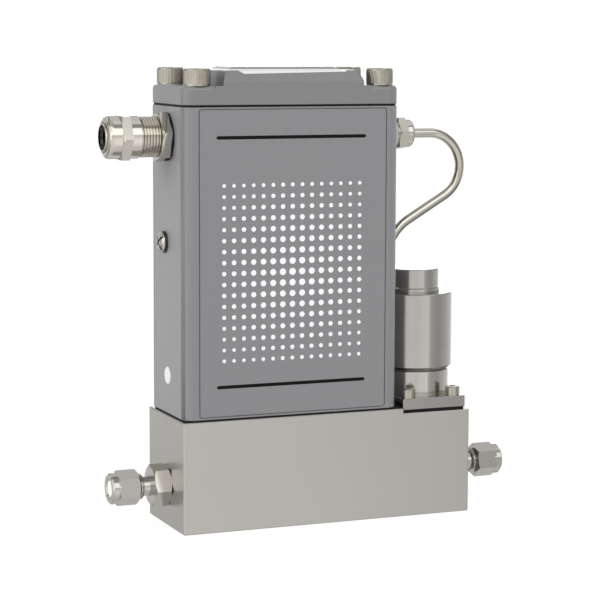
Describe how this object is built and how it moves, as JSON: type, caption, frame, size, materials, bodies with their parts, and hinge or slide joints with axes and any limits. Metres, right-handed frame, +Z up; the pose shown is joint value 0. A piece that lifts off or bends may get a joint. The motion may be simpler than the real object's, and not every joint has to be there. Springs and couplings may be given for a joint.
{
  "type": "mass flow controller",
  "caption": "Gas mass flow controller: machined steel flow body with tube fittings, tall sealed electronics housing, cable gland, and a solenoid control valve joined by a bent conduit.",
  "frame": {"origin": "centre of the flow body's underside", "axes": "+X along the flow body from inlet to outlet, +Y to the back, +Z up"},
  "size_m": [0.2024, 0.05, 0.2127],
  "materials": {
    "steel": "satin",
    "nickel": "satin nickel plate",
    "paint": "smooth semi-gloss paint",
    "label": "satin film",
    "rubber": "matt",
    "board": "solder mask",
    "part_plastic": "moulded",
    "terminal": "moulded",
    "capacitor": "sleeved can",
    "copper": "enamelled winding",
    "white_plastic": "glossy",
    "magnet_steel": "turned"
  },
  "bodies": {
    "controller": {"flow_body": "steel", "inlet_filter": "steel", "flow_element": "steel", "flow_element_oring": "rubber", "inlet_fitting": "steel", "inlet_nut": "steel", "inlet_front_ferrule": "steel", "inlet_back_ferrule": "steel", "inlet_oring": "rubber", "outlet_fitting": "steel", "outlet_nut": "steel", "outlet_front_ferrule": "steel", "outlet_back_ferrule": "steel", "outlet_oring": "rubber", "sensor_base": "steel", "sensor_orings": "rubber", "sensor_screws": "nickel", "sensor_tube": "steel", "sensor_windings": "copper", "sensor_can": "steel", "base_gasket": "rubber", "housing": "paint", "housing_screws": "nickel", "label_plate": "label", "cover_gasket": "rubber", "cover": "paint", "cover_screws": "nickel", "circuit_board": "board", "board_screws": "nickel", "terminal_block": "terminal", "capacitors": "capacitor", "chips": "part_plastic", "ground_screw": "nickel", "ground_washer": "nickel", "side_plug": "white_plastic", "gland_oring": "rubber", "gland_body": "nickel", "gland_locknut": "nickel", "gland_seal": "rubber", "gland_dome_nut": "nickel", "conduit_oring": "rubber", "conduit_gland": "nickel", "conduit_nut": "nickel", "conduit_tube": "nickel", "valve_base": "steel", "valve_gasket": "rubber", "valve_base_oring": "rubber", "valve_base_screws": "nickel", "valve_orifice": "steel", "orifice_oring": "rubber", "valve_stem": "steel", "plunger_spring": "nickel", "can_seal": "rubber", "coil_can": "steel", "coil_spool": "part_plastic", "coil_winding": "copper", "coil_cap": "steel"},
    "plunger": {"valve_plunger": "magnet_steel", "plunger_seat": "rubber"}
  },
  "joints": [
    {"name": "plunger_lift", "type": "slide", "parent": "controller", "child": "plunger", "axis": [0, 0, 1], "range_m": [0, 0.0004], "stiffness_N_per_m": 800, "springref_m": -0.004, "deforming": ["plunger_spring"]}
  ]
}
